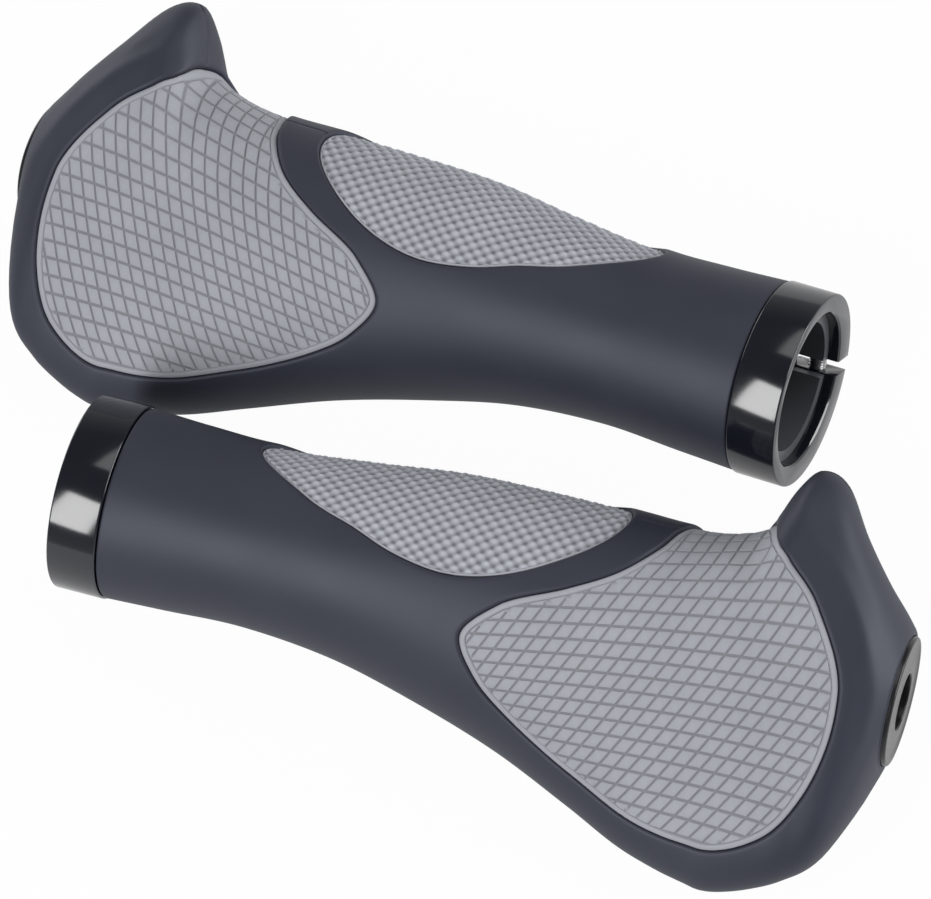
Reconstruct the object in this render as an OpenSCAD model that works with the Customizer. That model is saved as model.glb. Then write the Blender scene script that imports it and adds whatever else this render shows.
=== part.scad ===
// A pair of ergonomic handlebar grips, each with a palm wing and a short horn,
// locked to the bar by a split ring at its inner end.
// A grip is drawn in its own frame: x runs along the bar from the ring's open
// face to the outer end, y points forward and z up. The left grip is the right
// grip's mirror image, and both lie on their bellies, rolled back with the ring up.

/* [Handlebar] */
// Outer diameter of the bar that the grip slides onto
bar_d = 22.2; // [21.8:0.1:23.4]
// Added to the bar's diameter to give the sleeve's bore
bar_clearance = 0.1; // [0.04:0.02:0.2]

/* [Hard core] */
// Wall of the hard sleeve round the bar
sleeve_wall = 2; // [1.6:0.1:2.4]
// Distance from the ring's open face back to the sleeve's end
sleeve_recess = 2; // [1:0.5:4]
// Thickness of the stop that closes the sleeve's outer end
stop_t = 5; // [3:0.5:7]
// Distance that the stop stands in from the bore
stop_lip = 2.15; // [1.5:0.05:4]
// Width of the slot that lets the sleeve close under the ring
slot_w = 3; // [2:0.2:4]
// Length that the slot runs on under the rubber
slot_run = 4; // [2:0.5:8]
// Thickness of the plate that stiffens the wing
plate_t = 5; // [3:0.5:6]
// Height of the plate's middle over the bar's axis
plate_rise = 3; // [1:0.5:4]
// Length of the plate along the bar
plate_l = 36; // [24:1:40]
// Rubber left between the plate and the wing's edge
plate_margin = 9; // [8:0.5:12]
// Corner radius of the plate
plate_corner = 9; // [5:0.5:11]
// Diameter of the stub that stiffens the horn
stub_d = 8; // [6:0.5:9]
// Height of the stub's axis over the bar's axis
stub_rise = 2.5; // [1:0.5:4]
// Rubber left between the stub and the horn's tip
stub_margin = 8; // [7:0.5:12]

/* [Rubber body] */
// Length from the ring's open face to the end of the rubber
grip_l = 142.6; // [120:0.2:160]
// Rubber in front of the sleeve, beside the ring
neck_cover = 2.6; // [2.2:0.1:4]
// Rubber in front of the sleeve, under the fingers
finger_cover = 6.6; // [5:0.2:9]
// Reach of the horn in front of the bar's axis
horn_reach = 33.5; // [31:0.1:40]
// Reach of the wing behind the bar's axis
wing_reach = 37.7; // [34:0.1:44]
// Rubber behind the sleeve at the waist
waist_cover = 2.15; // [1.5:0.05:4]
// Rubber over the sleeve, under the palm
palm_cover = 3.6; // [3:0.1:6]
// Rubber below the sleeve
belly_cover = 2.4; // [2:0.1:4]
// Step from the ring's edge down to the rubber beside it
collar_step = 0.25; // [0.1:0.05:0.5]
// Gap between the ring and the rubber
ring_gap = 0.2; // [0.1:0.1:1]
// Depth of the rubber lip past the sleeve's end
lip_depth = 4.6; // [3:0.2:6]
// Wall of the rubber lip round the end plug
lip_wall = 0.6; // [0.5:0.1:2]
// Gap left between bonded pieces
bond_gap = 0.03; // [0.02:0.01:0.06]

/* [Soft pads] */
// Depth of the palm pad's pocket in the rubber
palm_pocket = 1.7; // [1.2:0.1:2]
// Depth of the finger pad's pocket in the rubber
finger_pocket = 1.6; // [1.2:0.1:2]
// Least rubber left between a pocket and the sleeve
pad_backing = 0.3; // [0.1:0.1:0.6]
// Step from the black rim down to the palm pad
palm_step = 0.4; // [0.1:0.05:0.8]
// Step from the black rim down to the finger pad
finger_step = 0.2; // [0.1:0.05:0.6]

/* [Clamp ring] */
// Wall of the ring at its thin side, over the sleeve
ring_wall = 1.85; // [1.6:0.05:2.5]
// Width of the ring along the bar
ring_w = 8.5; // [8:0.5:12]
// Drop of the ring's outer circle below the bar's axis
ring_drop = 1.6; // [1:0.1:2]
// Radial gap that lets the loosened ring slide on the sleeve
ring_fit = 0.05; // [0.02:0.01:0.1]
// Width of the split
split_w = 2.6; // [1.5:0.1:3]
// Angle of the split, forward of straight down
split_angle = 20; // [0:1:40]
// Chamfer on the ring's edges
ring_chamfer = 0.4; // [0.2:0.1:0.8]

/* [Clamp bolt] */
// Thread diameter of the bolt
bolt_d = 3; // [2.5:0.1:3.5]
// Diameter of the bolt's head
head_d = 5; // [4.5:0.1:5.5]
// Height of the bolt's head
head_h = 2.2; // [1.6:0.1:3]
// Hexagon socket across its flats
socket_af = 2.5; // [2:0.1:3]
// Depth of the hexagon socket
socket_depth = 1.4; // [1:0.1:2]
// Distance from the split's middle to the seat of the head
seat_reach = 2.6; // [2:0.1:3.5]
// Length of the shank past the split's middle
thread_reach = 5; // [4:0.5:5.5]
// Length of the hole past the shank's end
thread_spare = 0.5; // [0.2:0.1:0.8]
// Radial gap round the bolt
bolt_fit = 0.05; // [0.02:0.01:0.1]

/* [End plug] */
// Step in from the sleeve's outside to the plug's flange
plug_inset = 2.25; // [1.5:0.05:3]
// Distance that the flange stands out of the rubber
plug_proud = 0.7; // [0.3:0.1:3]
// Diameter of the hole through the plug
plug_hole_d = 9.5; // [6:0.5:12]
// Radial gap round the plug's shank
plug_fit = 0.05; // [0.02:0.01:0.1]
// Gap between the flange and the rubber lip
lip_gap = 0.15; // [0.1:0.05:0.6]
// Chamfer on the flange's rim
plug_chamfer = 0.4; // [0.2:0.1:1]

/* [Pair on the table] */
// Roll of each grip back onto the edge of its wing
roll = 22; // [15:0.5:28]
// Turn of each grip away from the other's ring
yaw = 2.56; // [0:0.02:4]
// Tilt of each grip that lifts its ring and lowers its outer end
pitch = 2.72; // [0:0.02:5]
// Distance of each ring's face from the pair's middle, along the bars
ring_x = 55.95; // [40:0.05:90]
// Distance between the two bars
bar_spacing = 52.11; // [50:0.01:90]

/* [Hidden] */

$fn = 64;
overcut = 1;
pocket_overcut = 1;
pocket_margin = 0.015;

bore_r = (bar_d + bar_clearance) / 2;
sleeve_r = bore_r + sleeve_wall;
ring_bore_r = sleeve_r + ring_fit;
ring_r = ring_bore_r + ring_wall + ring_drop;
collar_r = ring_r - collar_step;
neck_reach = sleeve_r + neck_cover;
finger_reach = sleeve_r + finger_cover;
waist_reach = sleeve_r + waist_cover;
palm_h = sleeve_r + palm_cover;
belly_h = sleeve_r + belly_cover;
body_x0 = ring_w + ring_gap;
sleeve_x1 = grip_l - lip_depth;
stop_x = sleeve_x1 - stop_t;
stop_r = bore_r - stop_lip;
plug_face_x = grip_l + plug_proud;
plug_r = sleeve_r - plug_inset;
lip_bore_r = plug_r + lip_gap;
lip_r = lip_bore_r + lip_wall;
horn_place = 86;

function mix(a, b, t) = a + (b - a) * t;

// Rubber profile along the grip. Stations are percent of the rubber's length.
stations = [0, 7.5, 18, 30, 41, 53, 64, 71, 76.5, 80.2, 82.2, 84.4, 88, 92, 95.8, 98.5, 100];
front_reaches = [
    collar_r, mix(neck_reach, collar_r, 0.3), neck_reach,
    mix(neck_reach, finger_reach, 0.42), mix(neck_reach, finger_reach, 0.88),
    finger_reach, finger_reach, finger_reach,
    mix(finger_reach, horn_reach, 0.09), mix(finger_reach, horn_reach, 0.29),
    mix(finger_reach, horn_reach, 0.72), mix(finger_reach, horn_reach, 0.99),
    mix(finger_reach, horn_reach, 0.9), mix(finger_reach, horn_reach, 0.36),
    mix(lip_r, finger_reach, 0.81), mix(lip_r, finger_reach, 0.3), lip_r];
back_reaches = [
    collar_r, mix(waist_reach, collar_r, 0.6), waist_reach,
    mix(waist_reach, wing_reach, 0.06), mix(waist_reach, wing_reach, 0.21),
    mix(waist_reach, wing_reach, 0.42), mix(waist_reach, wing_reach, 0.68),
    mix(waist_reach, wing_reach, 0.853), mix(waist_reach, wing_reach, 0.942),
    mix(waist_reach, wing_reach, 0.982), wing_reach, mix(waist_reach, wing_reach, 0.982),
    mix(waist_reach, wing_reach, 0.906), mix(waist_reach, wing_reach, 0.777),
    mix(lip_r, wing_reach, 0.63), mix(lip_r, wing_reach, 0.3), lip_r];
collar_top = collar_r - ring_drop;
collar_bottom = collar_r + ring_drop;
waist_top = max(collar_top, sleeve_r + finger_pocket + pad_backing);
pad_end_top = sleeve_r + palm_pocket + pad_backing;
top_heights = [
    collar_top, mix(collar_top, waist_top, 0.6), waist_top,
    mix(waist_top, palm_h, 0.4), mix(waist_top, palm_h, 0.7), mix(waist_top, palm_h, 0.9),
    palm_h, palm_h, palm_h, palm_h, palm_h, mix(lip_r, palm_h, 0.96),
    mix(lip_r, palm_h, 0.91), max(mix(lip_r, palm_h, 0.82), pad_end_top),
    max(mix(lip_r, palm_h, 0.66), pad_end_top), mix(lip_r, palm_h, 0.36), lip_r];
bottom_depths = [
    collar_bottom, mix(collar_bottom, belly_h, 0.4), belly_h, belly_h, belly_h,
    belly_h, belly_h, belly_h, belly_h, belly_h, belly_h, belly_h,
    mix(lip_r, belly_h, 0.97), mix(lip_r, belly_h, 0.85), mix(lip_r, belly_h, 0.66),
    mix(lip_r, belly_h, 0.38), lip_r];
// Height of the front and back edges, as shares of the ring's drop, belly and palm
front_edges = [
    -ring_drop, -0.9 * ring_drop, -0.9 * ring_drop, -ring_drop, -0.14 * belly_h,
    -0.19 * belly_h, -0.16 * belly_h, -0.07 * belly_h, 0.05 * palm_h, 0.06 * palm_h,
    0.14 * palm_h, 0.2 * palm_h, 0.2 * palm_h, 0.27 * palm_h, 0.21 * palm_h,
    0.05 * palm_h, 0];
back_edges = [
    -ring_drop, -ring_drop, -0.3 * ring_drop, -0.04 * belly_h, -0.08 * belly_h,
    -0.04 * belly_h, 0.06 * palm_h, 0.17 * palm_h, 0.24 * palm_h, 0.27 * palm_h,
    0.29 * palm_h, 0.31 * palm_h, 0.35 * palm_h, 0.4 * palm_h, 0.4 * palm_h,
    0.26 * palm_h, 0];
// Exponents of the lower quarters: 2 is an ellipse, less is drawn in
front_exponents = [2, 2, 2, 2, 2, 2, 2, 2, 1.9, 1.75, 1.65, 1.6, 1.6, 1.7, 2, 2, 2];
back_exponents = [2, 2, 2, 2, 1.8, 1.65, 1.55, 1.5, 1.5, 1.5, 1.5, 1.5, 1.5, 1.6, 1.8, 2, 2];
// How an edge's height spreads round the section: 0 keeps a circle round
edge_spreads = [0, 0, 0.5, 1, 1, 1, 1, 1, 1, 1, 1, 1, 1, 1, 1, 1, 1];
profiles = [
    front_reaches, back_reaches, top_heights, bottom_depths, front_edges,
    back_edges, front_exponents, back_exponents, edge_spreads];

// Outlines of the pads: percent of the rubber's length, and degrees round the
// section, where 0 is the front, 90 the top and 180 the back
palm_outline = [
    [47.4, 107], [50.1, 124.5], [54.5, 134.8], [60.2, 141.5], [66.7, 145], [73.7, 147],
    [80.6, 145.5], [86.1, 143], [90.3, 136.5], [93.1, 123], [94.4, 106], [94, 89],
    [92.2, 75.5], [89.1, 66], [84.6, 57], [82, 44], [80.8, 23], [79.8, 0], [78, -20],
    [75, -32], [72, -22], [70.3, 0], [69.2, 20], [67.9, 40], [64.5, 60], [59, 75], [51.8, 89.5]];
palm_centre = [74, 100];
finger_outline = [
    [16.1, 12], [17.4, 34], [24.7, 58.5], [31.2, 70], [36.8, 79], [43.3, 83], [49.3, 78.8],
    [55, 68], [60.2, 51], [62.7, 33], [62.7, 12], [60.2, -8], [53.8, -24], [42, -34],
    [29, -30], [20, -14]];
finger_centre = [41, 32];

// Index of the last station at or before f
function station_before(f) =
    max([for (i = [0 : len(stations) - 2]) if (i == 0 || f >= stations[i]) i]);

// Slope of a profile at station i
function slope_at(values, i) =
    let (a = max(i - 1, 0), b = min(i + 1, len(stations) - 1))
    (values[b] - values[a]) / (stations[b] - stations[a]);

// Smooth value of a profile at f
function along(values, f) =
    let (
        i = station_before(f),
        h = stations[i + 1] - stations[i],
        u = (f - stations[i]) / h,
        u2 = u * u,
        u3 = u2 * u)
    (2 * u3 - 3 * u2 + 1) * values[i] + (u3 - 2 * u2 + u) * h * slope_at(values, i)
    + (3 * u2 - 2 * u3) * values[i + 1] + (u3 - u2) * h * slope_at(values, i + 1);

function profile_at(f) = [for (values = profiles) along(values, f)];
function x_at(f) = mix(body_x0, grip_l, f / 100);

// Point of the section at angle a, from a profile's nine values
function section_point(x, p, a) =
    let (
        c = cos(a),
        s = sin(a),
        n = s >= 0 ? 2 : (c >= 0 ? p[6] : p[7]),
        reach = c >= 0 ? p[0] : p[1],
        height = s >= 0 ? p[2] : p[3],
        edge = c >= 0 ? p[4] : p[5])
    [x,
     reach * sign(c) * pow(abs(c), 2 / n),
     edge * mix(1 - abs(s), c * c, p[8]) + height * sign(s) * pow(abs(s), 2 / n)];

function skin_at(f, a) = section_point(x_at(f), profile_at(f), a);

// Outward direction of the surface
function outward(f, a) =
    let (
        along_x = skin_at(f + 0.4, a) - skin_at(f - 0.4, a),
        round_it = skin_at(f, a + 1) - skin_at(f, a - 1),
        n = cross(round_it, along_x))
    n / norm(n);

function below_skin(q, depth) = skin_at(q[0], q[1]) - depth * outward(q[0], q[1]);

// Point of a smooth closed curve through an outline's points
function round_outline(points, t) =
    let (
        n = len(points),
        i = floor(t),
        u = t - i,
        a = points[(i + n - 1) % n],
        b = points[i % n],
        c = points[(i + 1) % n],
        d = points[(i + 2) % n])
    b + 0.5 * u * (c - a + u * (2 * a - 5 * b + 4 * c - d + u * (3 * (b - c) + d - a)));

// Rings of section points that make up the rubber's skin
skin_steps = 3;
skin_sides = 40;
skin_places = concat(
    [for (i = [0 : len(stations) - 2]) for (k = [0 : skin_steps - 1])
        mix(stations[i], stations[i + 1], k / skin_steps)],
    [100]);
rubber_skin = [for (f = skin_places) let (p = profile_at(f)) for (k = [0 : skin_sides - 1])
    section_point(x_at(f), p, 360 * k / skin_sides)];

// Right-hand point after the roll, pitch and yaw that lay a grip on the table
function tilted(q) =
    let (
        y = q[1] * cos(roll) - q[2] * sin(roll),
        z = q[1] * sin(roll) + q[2] * cos(roll),
        x = q[0] * cos(pitch) + z * sin(pitch))
    [x * cos(yaw) - y * sin(yaw),
     x * sin(yaw) + y * cos(yaw),
     -q[0] * sin(pitch) + z * cos(pitch)];

// Height of the ring's middle over the table, and the pair's middle on it
laid_skin = [for (q = rubber_skin) tilted(q)];
laid_y = [for (q = laid_skin) q[1]];
axis_h = -min([for (q = laid_skin) q[2]]);
pair_y = -(min(laid_y) + max(laid_y)) / 2;

// Solid form of the rubber
module rubber_form() {
    rings = len(skin_places);
    sides = skin_sides;
    ends = [[body_x0, 0, 0], [grip_l, 0, 0]];
    first_end = rings * sides;
    faces = concat(
        [for (i = [0 : rings - 2]) for (k = [0 : sides - 1]) let (n = (k + 1) % sides)
            each [
                [i * sides + k, (i + 1) * sides + k, (i + 1) * sides + n],
                [i * sides + k, (i + 1) * sides + n, i * sides + n]]],
        [for (k = [0 : sides - 1]) [first_end, k, (k + 1) % sides]],
        [for (k = [0 : sides - 1])
            [first_end + 1, (rings - 1) * sides + (k + 1) % sides, (rings - 1) * sides + k]]);
    polyhedron(concat(rubber_skin, ends), faces);
}

// Solid that follows the surface inside an outline, between two depths.
// margin adds a strip round it, as a share of the way from the centre.
module patch(outline, centre, top, bottom, margin, inner_rings, steps) {
    rim = len(outline) * steps;
    shares = concat(
        [for (r = [1 : inner_rings]) r / inner_rings],
        margin > 0 ? [1 + margin] : []);
    rings = len(shares);
    cells = concat([centre],
        [for (share = shares) for (k = [0 : rim - 1])
            mix(centre, round_outline(outline, k / steps), share)]);
    count = len(cells);
    skin = concat(
        [for (q = cells) below_skin(q, top)],
        [for (q = cells) below_skin(q, bottom)]);
    last = 1 + (rings - 1) * rim;
    faces = concat(
        [for (k = [0 : rim - 1]) let (n = (k + 1) % rim)
            each [[0, 1 + n, 1 + k], [count, count + 1 + k, count + 1 + n]]],
        [for (r = [0 : rings - 2]) for (k = [0 : rim - 1])
            let (n = (k + 1) % rim, i = 1 + r * rim, j = i + rim)
            each [
                [i + k, j + n, j + k], [i + k, i + n, j + n],
                [count + i + k, count + j + k, count + j + n],
                [count + i + k, count + j + n, count + i + n]]],
        [for (k = [0 : rim - 1]) let (n = (k + 1) % rim)
            each [
                [last + k, count + last + n, count + last + k],
                [last + k, last + n, count + last + n]]]);
    polyhedron(skin, faces);
}

module palm_patch(top, bottom, margin) {
    patch(palm_outline, palm_centre, top, bottom, margin, 6, 2);
}

module finger_patch(top, bottom, margin) {
    patch(finger_outline, finger_centre, top, bottom, margin, 4, 2);
}

// Turns a shape drawn in the y-z plane so that its height runs along the bar
module along_bar(x) {
    translate([x, 0, 0])
        rotate([90, 0, 90])
            children();
}

module bar_rod(x0, x1, r) {
    along_bar(x0)
        cylinder(h = x1 - x0, r = r);
}

// Stiffeners that stand out of the sleeve. grow makes room for them in the rubber.
module stiffeners(grow) {
    horn_x = x_at(horn_place);
    plate_reach = wing_reach - plate_margin;
    plate_x1 = horn_x + plate_l / 4;
    plate_x0 = plate_x1 - plate_l;
    translate([0, 0, plate_rise - plate_t / 2 - grow])
        linear_extrude(plate_t + 2 * grow) {
            translate([plate_x0 - grow, -plate_reach + plate_corner])
                square([plate_l + 2 * grow, plate_reach - plate_corner]);
            translate([plate_x0 + plate_corner, -plate_reach - grow])
                square([plate_l - 2 * plate_corner, plate_reach]);
            for (x = [plate_x0 + plate_corner, plate_x1 - plate_corner])
                translate([x, -plate_reach + plate_corner])
                    circle(plate_corner + grow);
        }
    translate([horn_x, 0, stub_rise])
        rotate([-90, 0, 0])
            cylinder(h = horn_reach - stub_margin + grow, r = stub_d / 2 + grow);
}

// Solid round of the sleeve and its stiffeners, before the bar's bore
module core_form(grow) {
    bar_rod(sleeve_recess, sleeve_x1 + grow, sleeve_r + grow);
    stiffeners(grow);
}

module core() {
    difference() {
        core_form(0);
        bar_rod(sleeve_recess - overcut, stop_x, bore_r);
        bar_rod(stop_x - overcut, sleeve_x1 + overcut, stop_r);
        along_bar(sleeve_recess - overcut)
            rotate([0, 0, split_angle - 90])
                translate([0, -slot_w / 2, 0])
                    cube([2 * sleeve_r, slot_w, ring_w + slot_run - sleeve_recess + overcut]);
    }
}

module body() {
    difference() {
        rubber_form();
        core_form(bond_gap);
        bar_rod(sleeve_x1 - overcut, grip_l + overcut, lip_bore_r);
        palm_patch(-pocket_overcut, palm_pocket, pocket_margin);
        finger_patch(-pocket_overcut, finger_pocket, pocket_margin);
    }
}

module palm_pad() {
    palm_patch(palm_step, palm_pocket - bond_gap, 0);
}

module finger_pad() {
    finger_patch(finger_step, finger_pocket - bond_gap, 0);
}

// Puts a shape at the bolt: its height runs along the bolt towards the head,
// from the middle of the split
module at_bolt() {
    head_clear_r = ring_bore_r + 2 * bolt_fit;
    bolt_reach = sqrt(pow(head_clear_r, 2) - pow(seat_reach, 2)) + head_d / 2;
    along_bar(ring_w / 2)
        rotate([0, 0, split_angle - 90])
            translate([bolt_reach, 0, 0])
                rotate([-90, 0, 0])
                    children();
}

module clamp_ring() {
    difference() {
        translate([0, 0, -ring_drop])
            along_bar(0)
                rotate_extrude()
                    polygon([
                        [0, 0], [ring_r - ring_chamfer, 0], [ring_r, ring_chamfer],
                        [ring_r, ring_w - ring_chamfer], [ring_r - ring_chamfer, ring_w],
                        [0, ring_w]]);
        bar_rod(-overcut, ring_w + overcut, ring_bore_r);
        along_bar(-overcut)
            rotate([0, 0, split_angle - 90])
                translate([0, -split_w / 2, 0])
                    cube([2 * ring_r, split_w, ring_w + 2 * overcut]);
        at_bolt() {
            translate([0, 0, -thread_reach - thread_spare])
                cylinder(h = thread_reach + thread_spare + seat_reach + overcut,
                         r = bolt_d / 2 + bolt_fit);
            translate([0, 0, seat_reach])
                cylinder(h = ring_r, r = head_d / 2 + bolt_fit);
        }
    }
}

module clamp_bolt() {
    at_bolt()
        difference() {
            union() {
                translate([0, 0, -thread_reach])
                    cylinder(h = thread_reach + seat_reach + bolt_fit, r = bolt_d / 2);
                translate([0, 0, seat_reach + bolt_fit])
                    cylinder(h = head_h, r = head_d / 2);
            }
            translate([0, 0, seat_reach + bolt_fit + head_h - socket_depth])
                cylinder(h = socket_depth + overcut, d = socket_af / cos(30), $fn = 6);
        }
}

module end_plug() {
    flange_x0 = sleeve_x1 + lip_gap;
    shank_r = stop_r - plug_fit;
    hole_r = plug_hole_d / 2;
    along_bar(0)
        rotate_extrude()
            polygon([
                [hole_r, stop_x + lip_gap], [shank_r, stop_x + lip_gap],
                [shank_r, flange_x0], [plug_r, flange_x0],
                [plug_r, plug_face_x - plug_chamfer],
                [plug_r - plug_chamfer, plug_face_x],
                [hole_r, plug_face_x]]);
}

// Lays a right-hand piece, or its mirror image for the left, on the table
module on_table(left) {
    side = left ? -1 : 1;
    translate([-side * ring_x, pair_y - side * bar_spacing / 2, axis_h])
        rotate([0, 0, side * yaw])
            mirror([left ? 1 : 0, 0, 0])
                rotate([roll, pitch, 0])
                    children();
}

module right_core() {
    color("dimgray") on_table(false) core();
}

module right_body() {
    color("#2c2e34") on_table(false) body();
}

module right_palm_pad() {
    color("#9a9ea6") on_table(false) palm_pad();
}

module right_finger_pad() {
    color("#9a9ea6") on_table(false) finger_pad();
}

module right_clamp_ring() {
    color("#16171b") on_table(false) clamp_ring();
}

module right_clamp_bolt() {
    color("silver") on_table(false) clamp_bolt();
}

module right_end_plug() {
    color("#4c4e54") on_table(false) end_plug();
}

module left_core() {
    color("dimgray") on_table(true) core();
}

module left_body() {
    color("#2c2e34") on_table(true) body();
}

module left_palm_pad() {
    color("#9a9ea6") on_table(true) palm_pad();
}

module left_finger_pad() {
    color("#9a9ea6") on_table(true) finger_pad();
}

module left_clamp_ring() {
    color("#16171b") on_table(true) clamp_ring();
}

module left_clamp_bolt() {
    color("silver") on_table(true) clamp_bolt();
}

module left_end_plug() {
    color("#4c4e54") on_table(true) end_plug();
}

right_core();
right_body();
right_palm_pad();
right_finger_pad();
right_clamp_ring();
right_clamp_bolt();
right_end_plug();
left_core();
left_body();
left_palm_pad();
left_finger_pad();
left_clamp_ring();
left_clamp_bolt();
left_end_plug();
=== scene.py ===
import math

import bmesh
import bpy
import numpy as np
from mathutils import Matrix, Vector
from mathutils.geometry import delaunay_2d_cdt


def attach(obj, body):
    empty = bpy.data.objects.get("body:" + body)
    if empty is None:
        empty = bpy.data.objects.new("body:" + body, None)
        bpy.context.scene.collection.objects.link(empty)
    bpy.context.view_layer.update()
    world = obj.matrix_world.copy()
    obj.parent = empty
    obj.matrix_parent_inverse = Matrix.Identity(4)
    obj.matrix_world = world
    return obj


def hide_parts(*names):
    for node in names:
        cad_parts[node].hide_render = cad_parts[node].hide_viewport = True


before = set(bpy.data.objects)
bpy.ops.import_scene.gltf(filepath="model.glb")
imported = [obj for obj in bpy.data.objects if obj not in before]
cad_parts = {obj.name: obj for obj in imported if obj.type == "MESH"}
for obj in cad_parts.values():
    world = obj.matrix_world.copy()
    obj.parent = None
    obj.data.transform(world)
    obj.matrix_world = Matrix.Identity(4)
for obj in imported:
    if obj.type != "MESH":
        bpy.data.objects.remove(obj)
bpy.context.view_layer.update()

# every piece is modelled once, in mm, on a bar along x: y is forward and z is up
pair = {
    "ringX": 55.95, "barSpacing": 52.11, "pairY": -1.75596, "axisHeight": 22.01187,  # mm
    "roll": 22.0, "pitch": 2.72, "yaw": 2.56,  # degrees
}
hands = {"right": 1, "left": -1}
millimetre = 0.001  # in the frame's metres
mergeGap = 0.0005  # mm
levelGap = 0.01  # mm, for picking edges that lie level


def turned(degrees, axis):
    return Matrix.Rotation(math.radians(degrees), 4, axis)


def handMatrix(side):
    tilt = turned(pair["pitch"], "Y") @ turned(pair["roll"], "X")
    yaw = turned(side * pair["yaw"], "Z")
    y = pair["pairY"] - side * pair["barSpacing"] / 2
    move = Matrix.Translation((-side * pair["ringX"], y, pair["axisHeight"]))
    return Matrix.Scale(millimetre, 4) @ move @ yaw @ Matrix.Diagonal((side, 1, 1, 1)) @ tilt


def clearSelection():
    if bpy.context.object and bpy.context.object.mode != "OBJECT":
        bpy.ops.object.mode_set(mode="OBJECT")
    bpy.ops.object.select_all(action="DESELECT")


def pick(piece):
    clearSelection()
    piece.select_set(True)
    bpy.context.view_layer.objects.active = piece


def editAll(piece):
    pick(piece)
    bpy.ops.object.mode_set(mode="EDIT")
    bpy.ops.mesh.select_all(action="SELECT")


def meshPiece(name, points, faces, edges=()):
    mesh = bpy.data.meshes.new(name)
    corners = [tuple(map(float, p)) for p in points]
    mesh.from_pydata(corners, list(edges), [tuple(map(int, f)) for f in faces])
    piece = bpy.data.objects.new(name, mesh)
    bpy.context.scene.collection.objects.link(piece)
    return piece


def pointOutwards(piece):
    editAll(piece)
    bpy.ops.mesh.remove_doubles(threshold=mergeGap)
    bpy.ops.mesh.normals_make_consistent(inside=False)
    bpy.ops.object.mode_set(mode="OBJECT")


def applyPlace(piece):
    pick(piece)
    bpy.ops.object.transform_apply(location=True, rotation=True, scale=True)


def cutAway(piece, cutter):
    pick(piece)
    cut = piece.modifiers.new("cut", "BOOLEAN")
    cut.operation = "DIFFERENCE"
    cut.solver = "EXACT"
    cut.object = cutter
    bpy.ops.object.modifier_apply(modifier=cut.name)
    bpy.data.objects.remove(cutter, do_unlink=True)


def bevelEdges(piece, width, segments, chosen):
    pick(piece)
    bpy.ops.object.mode_set(mode="EDIT")
    bpy.ops.mesh.select_mode(type="EDGE")
    bpy.ops.mesh.select_all(action="DESELECT")
    edit = bmesh.from_edit_mesh(piece.data)
    for edge in edit.edges:
        edge.select = chosen(edge)
    edit.select_flush_mode()
    bmesh.update_edit_mesh(piece.data)
    bpy.ops.mesh.bevel(offset=width, segments=segments, affect="EDGES", clamp_overlap=True)
    bpy.ops.object.mode_set(mode="OBJECT")


def smoothPiece(piece, degrees):
    pick(piece)
    bpy.ops.object.shade_smooth_by_angle(angle=math.radians(degrees))


# lays the model and its mirror image on the table, and takes the model away
def layPair(model, title, node, body, finish):
    for hand, side in hands.items():
        piece = model.copy()
        piece.data = model.data.copy()
        piece.name = piece.data.name = hand + "_" + title
        bpy.context.scene.collection.objects.link(piece)
        piece.data.transform(handMatrix(side))
        if side < 0:
            piece.data.flip_normals()
        piece.data.materials.clear()
        piece.data.materials.append(finish)
        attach(piece, body if body == "grips" else hand + "_" + body)
        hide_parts(hand + "_" + node)
    print(title, "laid,", len(model.data.polygons), "faces each")
    bpy.data.objects.remove(model, do_unlink=True)


# the rubber's surface, from profiles at stations along the grip
grip = {
    "x0": 8.7, "x1": 142.6, "collar": 16.4, "drop": 1.6, "neck": 15.75, "finger": 19.75,  # mm
    "waist": 15.3, "palm": 16.75, "belly": 15.55, "horn": 33.5, "wing": 37.7, "lip": 11.65,
    "waistTop": 15.05, "padEnd": 15.15,
}
stations = np.array([0, 7.5, 18, 30, 41, 53, 64, 71, 76.5, 80.2, 82.2, 84.4, 88, 92, 95.8, 98.5, 100])


def blend(a, b, t):
    return a + (b - a) * t


# 0 at start and 1 once past the width, which is negative for a fall
def ramp(value, start, width):
    return np.clip((value - start) / width, 0, 1)


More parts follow.
